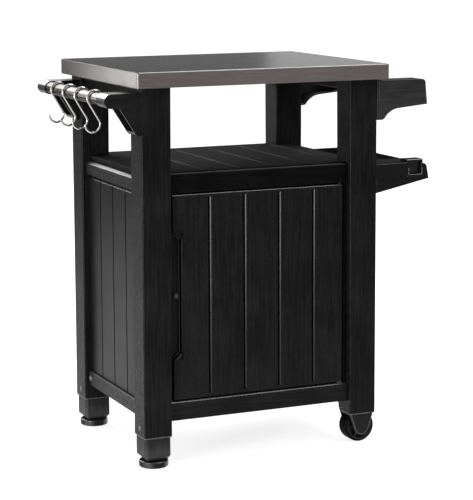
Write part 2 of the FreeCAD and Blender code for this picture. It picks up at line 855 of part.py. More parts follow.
def rail_bracket():
    """The left front bracket: a gusset with a socket for the rail.

    It is hollow and open along its slanting underside.
    """
    y0 = -leg_outer_y
    y1 = y0 + bracket_depth
    top = rail_z + rail_boss_radius
    bottom = rail_z - rail_boss_radius
    face = -leg_outer_x
    knee = (rail_x + bracket_knee_x, rail_z + bracket_knee_z)
    heel = (face + bracket_heel_x, bracket_bottom + bracket_heel_z)
    outline = [(face, top), (rail_x, top), (rail_x, bottom), knee, heel,
               (face + bracket_bend_x, bracket_bottom + bracket_bend_z,
                face + bracket_toe_x, bracket_bottom),
               (face, bracket_bottom)]
    boss = rod_between(FreeCAD.Vector(rail_x, y0, rail_z), Y_AXIS, rail_boss_radius,
                       bracket_depth)
    body = profile_xz(outline, y0, y1).fuse(boss).removeSplitter()
    hollow = profile_xz(outline, y0 + bracket_wall, y1 - bracket_wall, bracket_wall)
    underside = profile_xz([knee, heel, (heel[0] + bracket_slot_reach, heel[1]),
                            (knee[0] + bracket_slot_reach, knee[1])],
                           y0 + bracket_wall, y1 - bracket_wall)
    socket = rod_between(FreeCAD.Vector(rail_x, y0 + bracket_wall, rail_z), Y_AXIS,
                         rail_radius + seat_clearance, bracket_depth - bracket_wall)
    seam = block(face - seam_offset - seam_width, face - seam_offset, y0, y0 + seam_width,
                 bracket_bottom, top)
    body = body.cut(hollow).cut(underside).fuse(boss)
    return body.cut(socket).cut(seam).removeSplitter()


def tool_rail():
    """The steel tube between the two left brackets."""
    reach = leg_outer_y - bracket_wall
    start = FreeCAD.Vector(rail_x, -reach, rail_z)
    tube = rod_between(start, Y_AXIS, rail_radius, 2 * reach)
    return tube.cut(rod_between(start, Y_AXIS, rail_radius - rail_wall, 2 * reach))


def hook(y):
    """An S-shaped wire hook over the rail, in a plane across the rail."""
    upper_radius = rail_radius + hook_loop_clearance + hook_wire / 2
    upper = FreeCAD.Vector(rail_x, y, rail_z)
    lower = upper + FreeCAD.Vector(hook_lower_shift, 0, -hook_lower_drop)

    def on_circle(centre, radius, degrees):
        angle = math.radians(degrees)
        return centre + FreeCAD.Vector(radius * math.cos(angle), 0, radius * math.sin(angle))

    between = lower - upper
    lean = math.degrees(math.acos((upper_radius + hook_lower_radius) / between.Length))
    heading = math.degrees(math.atan2(between.z, between.x))
    leave = heading - lean
    arrive = leave + 180
    leave_up = leave % 360
    arrive_down = (arrive + 180) % 360 - 180
    path = [Part.Arc(on_circle(upper, upper_radius, hook_upper_end),
                     on_circle(upper, upper_radius, (hook_upper_end + leave_up) / 2),
                     on_circle(upper, upper_radius, leave_up)).toShape(),
            Part.makeLine(on_circle(upper, upper_radius, leave_up),
                          on_circle(lower, hook_lower_radius, arrive_down)),
            Part.Arc(on_circle(lower, hook_lower_radius, arrive_down),
                     on_circle(lower, hook_lower_radius, (arrive_down + hook_lower_end) / 2),
                     on_circle(lower, hook_lower_radius, hook_lower_end)).toShape()]
    spine = Part.Wire(path)
    start = on_circle(upper, upper_radius, hook_upper_end)
    tangent = path[0].tangentAt(path[0].FirstParameter)
    section = Part.Wire(Part.makeCircle(hook_wire / 2, start, tangent))
    wire = spine.makePipeShell([section], True, True)
    ends = [Part.makeSphere(hook_wire / 2, start),
            Part.makeSphere(hook_wire / 2, on_circle(lower, hook_lower_radius, hook_lower_end))]
    return wire.fuse(ends).removeSplitter()


def from_arm_root(*offsets):
    """Points given from the arm's upper corner at the leg, as one outline point."""
    point = []
    for x, z in offsets:
        point += [leg_outer_x + x, arm_top + z]
    return tuple(point)


def arm():
    """The right front arm: a hollow bracket with a socket for the roll rod."""
    y0 = -leg_outer_y
    y1 = y0 + bracket_depth
    outline = [from_arm_root((0, 0)), from_arm_root(arm_nose_start),
               from_arm_root(arm_nose_bend, arm_nose_end), from_arm_root(arm_tip),
               from_arm_root(arm_throat_start), from_arm_root(arm_throat_bend, arm_throat_end),
               from_arm_root((arm_foot_x, -arm_height)), from_arm_root((0, -arm_height))]
    body = profile_xz(outline, y0, y1)
    hollow = profile_xz(outline, y0 + arm_wall, y1, arm_wall)
    start = FreeCAD.Vector(rod_x, y0 + arm_wall / 2, rod_z)
    boss = rod_between(start, Y_AXIS, rod_boss_radius, bracket_depth - arm_wall / 2)
    socket = rod_between(start + Y_AXIS * (arm_wall / 2), Y_AXIS, rod_radius + turn_clearance,
                         bracket_depth - arm_wall)
    seam = block(leg_outer_x + seam_offset, leg_outer_x + seam_offset + seam_width,
                 y0, y0 + seam_width, arm_bottom, arm_top)
    return body.cut(hollow).fuse(boss).cut(socket).cut(seam).removeSplitter()


def roll_rod():
    """The rod between the arms, free to turn in their sockets."""
    reach = leg_outer_y - arm_wall - rod_end_play
    start = FreeCAD.Vector(rod_x, -reach, rod_z)
    return rod_between(start, Y_AXIS, rod_radius, 2 * reach)


def tray():
    """The right tray: a covered front part for the opener, open behind it."""
    y0 = -leg_outer_y
    y1 = tray_rear
    left = leg_outer_x
    outline = [(left, tray_inner_bottom), (left, tray_top),
               (tray_outer_top_x - tray_corner, tray_top),
               (tray_outer_top_x, tray_top - tray_corner),
               (tray_outer_bottom_x, tray_outer_bottom)]
    body = profile_xz(outline, y0, y1)
    inner_left = left + tray_wall
    inner_right = tray_outer_top_x - tray_wall
    well = block(inner_left, inner_right, y0 + tray_ledge_depth, y1 - tray_wall,
                 tray_floor, tray_top)
    under_top = tray_floor - tray_floor_thickness
    under = profile_xz([(inner_left, tray_inner_bottom - tray_cut_reach), (inner_left, under_top),
                        (inner_right, under_top), (inner_right, tray_inner_bottom - tray_cut_reach)],
                       y0 + tray_wall, y1 - tray_wall)
    body = body.cut(well).cut(under)
    rear_gap = block(inner_left, inner_right, y1 - tray_wall, y1,
                     tray_top - tray_rear_drop, tray_top)
    body = body.cut(rear_gap)
    ledge = block(left, hood_right, y0, y0 + tray_ledge_depth, tray_top,
                  tray_top + tray_ledge_rise)
    hood = block(hood_left, hood_right, y0, y0 + hood_depth, tray_top, hood_top)
    hood = hood.makeFillet(hood_wall, edges_along(hood, X_AXIS, lambda p: p.z > hood_top - 0.01))
    sill = block(hood_left, hood_right, y0 - sill_reach, y0, opener_bottom - sill_height,
                 opener_bottom)
    mouth = block(hood_left + hood_wall, hood_right - hood_wall, y0, y0 + opener_depth,
                  opener_bottom, hood_top - hood_wall)
    tab = block(left, left + tray_wall, y1 - tray_wall, y1 + tray_tab_length,
                tray_tab_bottom, tray_tab_top)
    return body.fuse([ledge, hood, sill, tab]).cut(mouth).removeSplitter()


def bottle_opener():
    """A steel plate in the hood's mouth, with a turned-out upper lip."""
    y1 = -leg_outer_y + opener_depth
    x0 = hood_left + hood_wall
    x1 = hood_right - hood_wall
    z0 = opener_bottom
    z1 = hood_top - hood_wall
    plate = block(x0, x1, y1 - opener_plate, y1, z0, z1)
    lip = block(x0 + opener_lip, x1 - opener_lip, y1 - opener_depth + opener_setback, y1 - opener_plate,
                z1 - opener_plate, z1)
    return plate.fuse(lip).removeSplitter()


def turned(shape):
    """The same shape at the diagonally opposite place."""
    return mirrored_x(mirrored_y(shape))


def group(*shapes):
    """Separate like pieces kept in one file."""
    return Part.makeCompound(list(shapes))


def all_parts():
    """Every piece, by name, in its place."""
    parts = {}
    parts["worktop_sheet"] = worktop_sheet()
    parts["worktop_core"] = worktop_core()
    parts["leg_front_right"] = wheel_leg()
    parts["leg_rear_right"] = mirrored_y(wheel_leg())
    parts["leg_front_left"] = mirrored_x(foot_leg())
    parts["leg_rear_left"] = turned(foot_leg())
    parts["apron_right"] = between_legs(side_apron())
    parts["apron_left"] = between_legs(mirrored_x(side_apron()))
    parts["apron_rear"] = between_legs(back_apron())
    parts["shelf_deck"] = between_legs(shelf_deck())
    parts["shelf_front_rail"] = between_legs(front_header())
    parts["shelf_rear_rail"] = between_legs(mirrored_y(header()))
    parts["shelf_side_rail_right"] = between_legs(side_rail())
    parts["shelf_side_rail_left"] = between_legs(mirrored_x(side_rail()))
    parts["panel_right"] = between_legs(side_panel())
    parts["panel_left"] = between_legs(mirrored_x(side_panel()))
    parts["panel_rear"] = between_legs(back_panel())
    parts["low_rail_front"] = between_legs(front_low_rail())
    parts["low_rail_rear"] = between_legs(mirrored_y(low_rail()))
    parts["low_rail_right"] = between_legs(low_side_rail())
    parts["low_rail_left"] = between_legs(mirrored_x(low_side_rail()))
    parts["cupboard_floor"] = between_legs(cupboard_floor())
    parts["inner_shelf"] = between_legs(inner_shelf())
    parts["shelf_cleats"] = group(between_legs(shelf_cleat()),
                                  between_legs(mirrored_x(shelf_cleat())))
    parts["jamb_right"] = between_legs(jamb())
    parts["jamb_left"] = between_legs(strike_jamb())
    parts["door_leaf"] = door()
    parts["door_pins"] = door_pins()
    parts["door_latch"] = latch()
    parts["rail_bracket_front"] = rail_bracket()
    parts["rail_bracket_rear"] = mirrored_y(rail_bracket())
    parts["tool_rail"] = tool_rail()
    for number, place in enumerate(hook_places, 1):
        parts["hook_%d" % number] = hook(place)
    parts["arm_front"] = arm()
    parts["arm_rear"] = mirrored_y(arm())
    parts["roll_rod"] = roll_rod()
    parts["tray"] = tray()
    parts["bottle_opener"] = bottle_opener()
    parts["foot_block_front"] = mirrored_x(foot_block())
    parts["foot_block_rear"] = turned(foot_block())
    parts["levelling_foot_front"] = mirrored_x(levelling_foot())
    parts["levelling_foot_rear"] = turned(levelling_foot())
    parts["wheel_fork_front"] = wheel_fork()
    parts["wheel_fork_rear"] = mirrored_y(wheel_fork())
    parts["wheel_axles"] = group(wheel_axle(), mirrored_y(wheel_axle()))
    parts["wheel_hub_front"] = wheel_hub()
    parts["wheel_hub_rear"] = mirrored_y(wheel_hub())
    parts["wheel_tread_front"] = wheel_tread()
    parts["wheel_tread_rear"] = mirrored_y(wheel_tread())
    leg_screw = foot_screw(X_AXIS)
    parts["leg_screws"] = group(leg_screw, mirrored_y(leg_screw), mirrored_x(leg_screw),
                                turned(leg_screw))
    side_screws = [screw(seat, X_AXIS) for seat in rail_screw_seats()]
    side_screws += [mirrored_x(shape) for shape in side_screws]
    parts["rail_screws"] = group(*side_screws)
    return parts


for name, shape in all_parts().items():
    if not shape.isValid():
        raise ValueError("the shape of %s is not valid" % name)
    shape.exportStep("parts/%s.step" % name)
    size = shape.BoundBox
    print("%-24s %2d solid(s)  X %7.1f %7.1f  Y %7.1f %7.1f  Z %6.1f %6.1f  %8.1f cm3"
          % (name, len(shape.Solids), size.XMin, size.XMax, size.YMin, size.YMax,
             size.ZMin, size.ZMax, shape.Volume / 1000))
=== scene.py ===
# %% [markdown]
# # A grill cart with storage: looks around a packed frame
# The cart is already built as solids: a steel-topped resin cabinet on four legs, with a door, a tool
# rail with hooks, a roll holder, a side tray, two levelling feet and two wheels. This file dresses it.
# Each step says first what the piece is on the real cart and why it is made the way it is here.
# The frame is in metres: X to the right, Y to the back, Z up, with the origin on the floor under the middle.

# %% The frame
import json
import math

import bmesh
import bpy
import numpy as np
from mathutils import Matrix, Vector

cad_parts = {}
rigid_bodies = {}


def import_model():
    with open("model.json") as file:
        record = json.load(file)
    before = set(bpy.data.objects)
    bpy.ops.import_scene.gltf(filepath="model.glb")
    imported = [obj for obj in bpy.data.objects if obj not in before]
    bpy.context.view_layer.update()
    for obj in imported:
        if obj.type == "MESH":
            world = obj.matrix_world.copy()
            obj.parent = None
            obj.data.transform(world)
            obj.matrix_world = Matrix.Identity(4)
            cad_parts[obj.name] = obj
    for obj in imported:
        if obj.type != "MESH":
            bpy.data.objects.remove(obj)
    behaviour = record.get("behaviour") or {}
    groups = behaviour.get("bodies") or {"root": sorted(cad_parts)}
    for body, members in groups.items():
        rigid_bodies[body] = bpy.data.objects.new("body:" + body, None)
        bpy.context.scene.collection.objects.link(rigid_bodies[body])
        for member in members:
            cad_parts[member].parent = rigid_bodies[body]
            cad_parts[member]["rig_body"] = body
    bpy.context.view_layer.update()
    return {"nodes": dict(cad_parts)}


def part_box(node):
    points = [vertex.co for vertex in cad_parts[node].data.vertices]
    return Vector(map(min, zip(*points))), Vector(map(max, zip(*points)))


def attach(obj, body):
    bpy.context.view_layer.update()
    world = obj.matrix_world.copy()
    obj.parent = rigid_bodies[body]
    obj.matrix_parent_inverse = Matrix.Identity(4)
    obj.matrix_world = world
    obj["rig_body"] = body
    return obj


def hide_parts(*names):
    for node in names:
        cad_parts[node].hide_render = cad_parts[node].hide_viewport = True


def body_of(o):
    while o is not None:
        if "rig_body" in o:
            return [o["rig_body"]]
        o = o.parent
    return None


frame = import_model()


def in_scene(name, data):
    """A new object for a mesh, a lamp or a camera, linked to the scene."""
    thing = bpy.data.objects.new(name, data)
    bpy.context.scene.collection.objects.link(thing)
    return thing


# %% [markdown]
# ## Shader maths as plain expressions
# A finish is a small network of nodes. Written node by node it is hard to read, so one class wraps a
# socket and lets +, - and * on it add the Math nodes. Its ramp is for masks, which are mostly 0 below one
# value, 1 above another, and smooth between.

# %% A wire
class Wire:
    """The output of a node. Sums and products of wires and numbers add the Math nodes that work them out."""

    def __init__(self, network, socket):
        self.network, self.socket = network, socket

    def maths(self, operation, *values):
        return self.network.add("ShaderNodeMath", {"operation": operation}, dict(enumerate(values)))

    def __add__(self, other):
        return self.maths("ADD", self, other)

    def __sub__(self, other):
        return self.maths("SUBTRACT", self, other)

    def __rsub__(self, other):
        return self.maths("SUBTRACT", other, self)

    def __mul__(self, other):
        return self.maths("MULTIPLY", self, other)

    __radd__, __rmul__ = __add__, __mul__

    def ramp(self, low, high, start=0.0, end=1.0):
        """Goes smoothly from start to end while the wire goes from low to high."""
        return self.network.add("ShaderNodeMapRange", {"interpolation_type": "SMOOTHSTEP"},
                                {0: self, 1: low, 2: high, 3: start, 4: end})


print("a wire takes +, - and *, and has a ramp")

# %% [markdown]
# ## A material as a network
# Every other node comes from one method, `add`, which takes the node's type, its settings, and what goes
# into its sockets. Sockets are named by their label, or by their number where a node has several of one
# name: a colour Mix has its factor at 0, its two colours at 6 and 7, and its result at output 2. The
# Principled shader has a method of its own, `feed`, because every finish ends in it.

# %% A network of nodes
class Network:
    """A material: its node tree, its Principled shader, and the method that adds a node."""

    def __init__(self, name, **constants):
        self.material = bpy.data.materials.new(name)
        self.material.use_nodes = True
        self.tree = self.material.node_tree
        self.tree.nodes.clear()
        self.shader = self.tree.nodes.new("ShaderNodeBsdfPrincipled")
        output = self.tree.nodes.new("ShaderNodeOutputMaterial")
        self.tree.links.new(self.shader.outputs[0], output.inputs[0])
        self.feed(**constants)

    def add(self, kind, settings=None, sockets=None, out=0):
        """Adds a node, sets what it has to be, fills its sockets with wires or values, and gives one output."""
        node = self.tree.nodes.new(kind)
        for key, value in (settings or {}).items():
            setattr(node, key, value)
        for key, value in (sockets or {}).items():
            if isinstance(value, Wire):
                self.tree.links.new(value.socket, node.inputs[key])
            else:
                node.inputs[key].default_value = value
        return Wire(self, node.outputs[out])

    def feed(self, **sockets):
        """Sets the shader's own sockets, base_color for Base Color and so on."""
        for key, value in sockets.items():
            socket = self.shader.inputs[key.replace("_", " ").title().replace("Ior", "IOR")]
            if isinstance(value, Wire):
                self.tree.links.new(value.socket, socket)
            else:
                socket.default_value = (*value, 1.0) if isinstance(value, tuple) else value


print("a network can", [name for name in vars(Network) if not name.startswith("_")])

# %% [markdown]
# ## What a finish reads
# Grain, wear and dust all start from the same few things: where a point lies on the cart, which way its
# face looks, whether it is on a bevel, and a noise. They could be groups of nodes, but as methods they can
# stand in the expressions, so that a finish reads almost like a sentence.

# %% A finish
class Finish(Network):
    """A material on the cart, with the patterns and masks that the finishes share."""

    def place(self, scale=(1, 1, 1)):
        """Object coordinates, stretched by scale: a large number gives fine detail along that axis."""
        spot = self.add("ShaderNodeTexCoord", out=3)
        return self.add("ShaderNodeMapping", None, {"Vector": spot, "Scale": scale})

    def along(self, axis):
        """The object coordinate along an axis of the cart, in metres."""
        return self.add("ShaderNodeSeparateXYZ", None, {0: self.place()}, out=axis)

    def facing(self, axis):
        """How far the surface faces along an axis of the cart, from -1 to 1."""
        normal = self.add("ShaderNodeTexCoord", out=1)
        return self.add("ShaderNodeSeparateXYZ", None, {0: normal}, out=axis)

    def slant(self):
        """0 on faces square to the cart and 0.5 at 45 degrees: 1 minus the fourth powers of the facing."""
        squares = [self.facing(axis) * self.facing(axis) for axis in range(3)]
        return 1 - squares[0] * squares[0] - squares[1] * squares[1] - squares[2] * squares[2]

    def noise(self, scale, stretch=(1, 1, 1), detail=2.0, rough=0.5):
        """Noise around 0.5, with about scale lumps to the metre along an axis whose stretch is 1."""
        return self.add("ShaderNodeTexNoise", None, {"Vector": self.place(stretch), "Scale": scale,
                                                     "Detail": detail, "Roughness": rough})

    def inside(self, low, high, soft=0.0003):
        """1 inside the box from low to high, in metres, and 0 outside it."""
        mask = 1.0
        for axis in range(3):
            spot = self.along(axis)
            mask = spot.ramp(low[axis] - soft, low[axis]) * spot.ramp(high[axis], high[axis] + soft, 1.0, 0.0) * mask
        return mask

    def colours(self, mask, dark, light):
        """The colour dark where mask is 0 and light where it is 1."""
        return self.add("ShaderNodeMix", {"data_type": "RGBA"}, {0: mask, 6: (*dark, 1), 7: (*light, 1)}, out=2)

    def tinted(self, colour, mask, tint):
        """The colour, multiplied by tint where mask is 1."""
        return self.add("ShaderNodeMix", {"data_type": "RGBA", "blend_type": "MULTIPLY"},
                        {0: mask, 6: colour, 7: (*tint, 1)}, out=2)

    def bump(self, height, depth, strength):
        """A normal for a relief of height times depth, in metres."""
        return self.add("ShaderNodeBump", None, {"Height": height, "Distance": depth, "Strength": strength})


print("a finish can", [name for name in vars(Finish) if not name.startswith("_")])

# %% [markdown]
# ## The camera
# The photograph was taken from the front left, a little above the worktop, with a long lens. Its place
# was worked out from the cart's own edges. The picture is a crop, so the lens axis isn't in its middle,
# and the shift puts it back where it was.

# %% Camera at the photograph's angle
YAW, PITCH, ROLL = 0.412422, -0.142077, -0.004971
CAMERA_PLACE = (-1.73909, -3.98863, 1.19818)
PICTURE_WIDE, PICTURE_TALL = 473, 500
LENS_PIXELS, AXIS_X, AXIS_Y = 1839.98, 223.906, 196.733
SENSOR = 36.0


def turned(axes, place):
    """The matrix that puts a thing at place with its X, Y and Z axes along the three unit vectors."""
    matrix = np.eye(4)
    matrix[:3, :3], matrix[:3, 3] = np.stack(axes, -1), place
    return Matrix(matrix)


def studio_camera():
    """Looks along (sin yaw cos pitch, cos yaw cos pitch, sin pitch), turned about that line by roll."""
    look = np.array([math.sin(YAW) * math.cos(PITCH), math.cos(YAW) * math.cos(PITCH), math.sin(PITCH)])
    level = np.array([math.cos(YAW), -math.sin(YAW), 0.0])
    upright = np.cross(level, look)
    side = math.cos(ROLL) * level + math.sin(ROLL) * upright
    top = np.cross(side, look)
    camera = in_scene("camera", bpy.data.cameras.new("camera"))
    camera.matrix_world = turned((side, top, -look), CAMERA_PLACE)
    camera.data.sensor_width = SENSOR
    camera.data.lens = LENS_PIXELS / PICTURE_TALL * SENSOR
    camera.data.shift_x = (PICTURE_WIDE / 2 - AXIS_X) / PICTURE_TALL
    camera.data.shift_y = (AXIS_Y - PICTURE_TALL / 2) / PICTURE_TALL
    bpy.context.scene.camera = camera
    return camera


camera = studio_camera()
print("lens", round(camera.data.lens, 1), "mm, shift", round(camera.data.shift_x, 4), round(camera.data.shift_y, 4))

# %% [markdown]
# ## The studio floor
# The photograph has a white background and soft shadows. A floor under lamps strong enough to make it white
# would light the cart from below, so this one is white only for the camera and for what is mirrored. It
# still shows the cart's shadow.

# %% The floor
FLOOR_HALF, FLOOR_BELOW = 40.0, 0.0005
SEEN_FLOOR = 0.8
POOL_RADII, POOL_MIDDLE = (0.4, 3.5), 1.25


def square(name, half_wide, half_high, z=0.0):
    """A flat rectangle in the object's own XY plane, facing along its Z."""
    mesh = bpy.data.meshes.new(name)
    mesh.from_pydata([(x * half_wide, y * half_high, z) for x, y in ((-1, -1), (1, -1), (1, 1), (-1, 1))], [],
                     [(0, 1, 2, 3)])
    return in_scene(name, mesh)


def floor_finish():
    """A pale floor that adds a little white of its own where the camera or a mirror looks at it.

    What a mirror sees of it is a painted pool of light: its glow is brightest around the cart and fades with
    the distance from the middle.
    """
    floor = Finish("studio_floor", base_color=(0.5, 0.5, 0.5), roughness=0.9)
    rays = floor.tree.nodes.new("ShaderNodeLightPath")
    far = floor.add("ShaderNodeVectorMath", {"operation": "LENGTH"}, {0: floor.place()}, out=1)
    # Painted pool of light: the glow that mirrors see is strongest near the middle.
    pool = floor.add("ShaderNodeMapRange", None,
                     {0: far, 1: POOL_RADII[0], 2: POOL_RADII[1], 3: POOL_MIDDLE, 4: 0.0})
    seen = (Wire(floor, rays.outputs["Is Camera Ray"]) + Wire(floor, rays.outputs["Is Glossy Ray"]) * pool
            + Wire(floor, rays.outputs["Is Transmission Ray"]))
    floor.feed(emission_color=(1.0, 1.0, 1.0))
    floor.tree.links.new((seen * SEEN_FLOOR).socket, floor.shader.inputs["Emission Strength"])
    return floor.material


def studio_floor():
    """A square of floor, a little under the feet so that no two faces lie in one plane."""
    floor = square("studio_floor", FLOOR_HALF, FLOOR_HALF, -FLOOR_BELOW)
    floor.data.materials.append(floor_finish())


studio_floor()
print("the floor is", 2 * FLOOR_HALF, "m wide and lies", FLOOR_BELOW, "m under the feet")

# %% [markdown]
# ## The world
# The world is treated like the floor: Light Path tells which rays come from the camera or a mirror, and
# only those find it white. All others find a weaker light, the same from every side.

# %% The world
AMBIENT = 0.52


def studio_world():
    """White where it is seen or mirrored, and a plain ambient light for everything else."""
    world = bpy.data.worlds.new("studio")
    world.use_nodes = True
    tree = world.node_tree
    back = tree.nodes["Background"]
    rays = tree.nodes.new("ShaderNodeLightPath")
    total = rays.outputs["Is Camera Ray"]
    for name in ("Is Glossy Ray", "Is Transmission Ray"):
        both = tree.nodes.new("ShaderNodeMath")
        tree.links.new(total, both.inputs[0])
        tree.links.new(rays.outputs[name], both.inputs[1])
        total = both.outputs[0]
    strength = tree.nodes.new("ShaderNodeMapRange")
    strength.inputs["To Min"].default_value = AMBIENT
    tree.links.new(total, strength.inputs["Value"])
    tree.links.new(strength.outputs[0], back.inputs["Strength"])
    back.inputs["Color"].default_value = (1, 1, 1, 1)
    bpy.context.scene.world = world


studio_world()
bpy.context.scene.view_settings.view_transform = "Standard"
print("ambient light", AMBIENT)

# %% [markdown]
# ## Lamps and cards
# Large soft lamps stand where the photograph's highlights ask for them. Steel and bevels show what stands
# around them more than the lamps, so a few boards stand there too, as beside any shiny thing in a studio. A
# mirror sees them and nothing else does.

# %% Lamps and cards
def facing_turn(place, aim):
    """The matrix that puts a thing at place with its Z axis pointing away from aim and its X axis level."""
    back = np.array(place, float) - np.array(aim, float)
    back /= np.linalg.norm(back)
    side = np.cross((0, 0, 1), back)
    side /= np.linalg.norm(side)
    return turned((side, np.cross(back, side), back), place)


def soft_lamp(name, place, aim, size, watts):
    """A square area lamp at place, facing aim."""
    lamp = in_scene(name, bpy.data.lights.new(name, "AREA"))
    lamp.data.size, lamp.data.energy, lamp.visible_camera = size, watts, False
    lamp.matrix_world = facing_turn(place, aim)


def mirror_card(name, place, aim, half_wide, half_high, glow=0.0):
    """A board that only mirrors see. A dark one keeps the white room out of the faces that look towards it;
    one that glows puts a line of light along bevels and lips."""
    card = square(name, half_wide, half_high)
    card.matrix_world = facing_turn(place, aim)
    card.visible_camera = card.visible_diffuse = card.visible_shadow = card.visible_transmission = False
    card.data.materials.append(Finish(name, base_color=(0.1, 0.1, 0.1), roughness=0.9,
                                      emission_color=(1.0, 1.0, 1.0), emission_strength=glow).material)


soft_lamp("lamp_left", (-4.6, -2.2, 1.0), (0, 0, 0.5), 1.6, 60)
soft_lamp("lamp_top", (1.6, -0.6, 4.2), (0, 0, 0.6), 2.0, 90)
soft_lamp("lamp_front_right", (1.9, -3.5, 3.3), (0, 0, 0.6), 1.4, 30)
soft_lamp("lamp_back", (-1.1, 4.2, 2.5), (0, 0, 0.6), 1.4, 150)
soft_lamp("lamp_back_right", (2.8, 4.0, 1.5), (0, 0, 0.9), 1.5, 13)
soft_lamp("lamp_low_left", (-2.35, -1.3, 0.3), (-0.2, -0.2, 0.3), 0.55, 28)
soft_lamp("lamp_floor", (-1.0, 1.2, 1.5), (-1.0, 1.21, 0), 0.8, 12)
soft_lamp("card_left", (-0.74, 0.66, 0.84), (-0.31, -0.26, 0.9), 0.24, 0.7)
mirror_card("dark_card", (-1.7, 2.9, 0.95), (-0.3, 0, 0.95), 1.5, 0.95)
mirror_card("horizon_card", (1.5, 5.2, 1.3), (0.0, 0.0, 0.9), 2.4, 1.3, 0.75)
mirror_card("strip_card", (-0.55, 1.75, 1.42), (-0.29, 0.0, 0.65), 0.7, 0.25, 9.0)

# %% [markdown]
# ## Charcoal resin
# Legs, boards and fittings are moulded resin, coloured right through, with a fine drawn grain that
# follows the length of each board and a satin skin. A painted texture would have to be laid out flat for
# every board. A noise that is stretched along the board needs no layout and runs on over every edge.

# %% How resin is made
def stretched(axis, amount):
    """The stretch that draws a noise out along one axis, 1 / amount times as long as it is wide."""
    return tuple(amount if k == axis else 1.0 for k in range(3))


STREAKS, PEBBLES, CLOUDS, SPECKS = 210, 380, 9, 220  # lumps to the metre
STREAK_DRAW, RESIN_RELIEF = 0.05, 0.0005
# Tints of painted shade: for the walls of joints, and for what lies deep in gaps.
PAINTED_JOINT_SHADE, PAINTED_DEEP_SHADE = (0.08, 0.08, 0.08), (0.02, 0.02, 0.02)


def resin(name, grain, dark, light, satin=0.36, gloss=0.07, burnish=0.3, crown=0.5, groove=None,
          gaps=(), dull=0.92, mottle=0.0, top=0.0, paler=None):
    """Streaks of noise along grain (0, 1 or 2 for X, Y or Z), over a fine pebble, in two close greys.

    Faces that look up have the roughness dull, as dust and wear make them. Edges and bevels are burnished by
    handling: there a clear coat comes in, patchily, as much as burnish says, and by crown more on edges that
    look up. Where groove gives an (axis, way), bevels that face that way are the walls of narrow joints, which
    lie in shade: they are painted dark, a painted shade, and get no coat; way 0 means both ways. gaps are boxes,
    each a low and a high corner, that hold the floors of such joints and other places deep in shade, painted
    dark there as painted shade. mottle adds coarse specks on faces that look left or right, top is how much
    faces that look straight up shine, and paler gives the two heights between which the resin gets darker
    upwards, a painted light from the floor that is strongest low down.
    """
    finish = Finish(name, specular_ior_level=gloss, coat_roughness=0.25)
    streaks = finish.noise(STREAKS, stretched(grain, STREAK_DRAW), 3.0, 0.6)
    pebble = finish.noise(PEBBLES, rough=0.6)
    clouds = finish.noise(CLOUDS, detail=3.0)
    tone, height = streaks * 0.4 + pebble * 0.3 + clouds * 0.3, streaks * 0.5 + pebble * 0.5
    if mottle:
        across = finish.facing(0)
        specks = finish.noise(SPECKS, rough=0.7).ramp(0.36, 0.64, -mottle, mottle) * (across * across).ramp(0.5, 0.9)
        tone, height = tone + specks, height + specks * 3
    # Painted light: the resin is paler low down, near the floor.
    if paler:
        tone = tone + finish.along(2).ramp(*paler, 0.14, -0.12)
    colour, edge = finish.colours(tone.ramp(0.38, 0.64), dark, light), finish.slant().ramp(0.15, 0.45)
    # Painted shade: joint walls that face the groove's way are darkened and lose their coat.
    if groove:
        across = finish.facing(groove[0])
        joint = (across * (groove[1] or across)).ramp(0.1, 0.4)
        colour, edge = finish.tinted(colour, joint, PAINTED_JOINT_SHADE), edge * (1 - joint)
    # Painted shade: inside each gap box the colour is darkened and the coat is taken away.
    for low, high in gaps:
        inside = finish.inside(low, high)
        colour, edge = finish.tinted(colour, inside, PAINTED_DEEP_SHADE), edge * (1 - inside)
    upward = finish.facing(2)
    shine = edge * (clouds * 0.6 + 0.7) * upward.ramp(0.3, 0.6, burnish, burnish + crown)
    if top:
        shine = shine + upward.ramp(0.9, 0.99, 0.0, top)
    finish.feed(base_color=colour, coat_weight=shine,
                roughness=satin - 0.08 + streaks * 0.16 + upward.ramp(0.5, 0.95) * (dull - satin),
                normal=finish.bump(height, RESIN_RELIEF, 0.8))
    return finish.material


print("streaks about", round(1000 / STREAKS), "mm wide and", round(1000 / STREAKS / STREAK_DRAW), "mm long")

# %% [markdown]
# ## The resins
# Grain follows the length of a board, so the finish is made once for each direction that boards run in, and
# once more for each moulding that is glossier, paler or more worn than the boards. Two boxes hold what lies
# deep in the shade on the door, where the resin is painted dark as painted shade: the floors of the joints
# between its boards, and the wall of its grip.

# %% Resins for boards and mouldings
CHARCOAL = (0.003, 0.0031, 0.0033), (0.0125, 0.0127, 0.0131)
# Boxes of painted shade on the door: its joint floors and its grip's wall are darkened inside them.
DOOR_JOINTS = (-1, -0.2198, 0), (1, -0.2165, 1)
GRIP_WALL = (-0.1975, -0.223, 0.243), (-0.1925, -0.2083, 0.537)
GRAIN = {"across": 0, "deep": 1, "upright": 2}
board = {way: resin("board_resin_" + way, axis, *CHARCOAL) for way, axis in GRAIN.items()}
deck_resin = resin("deck_resin", 1, (0.005, 0.0051, 0.0053), (0.015, 0.0152, 0.0157), 0.6, 0.03, 0.01, 0.01)
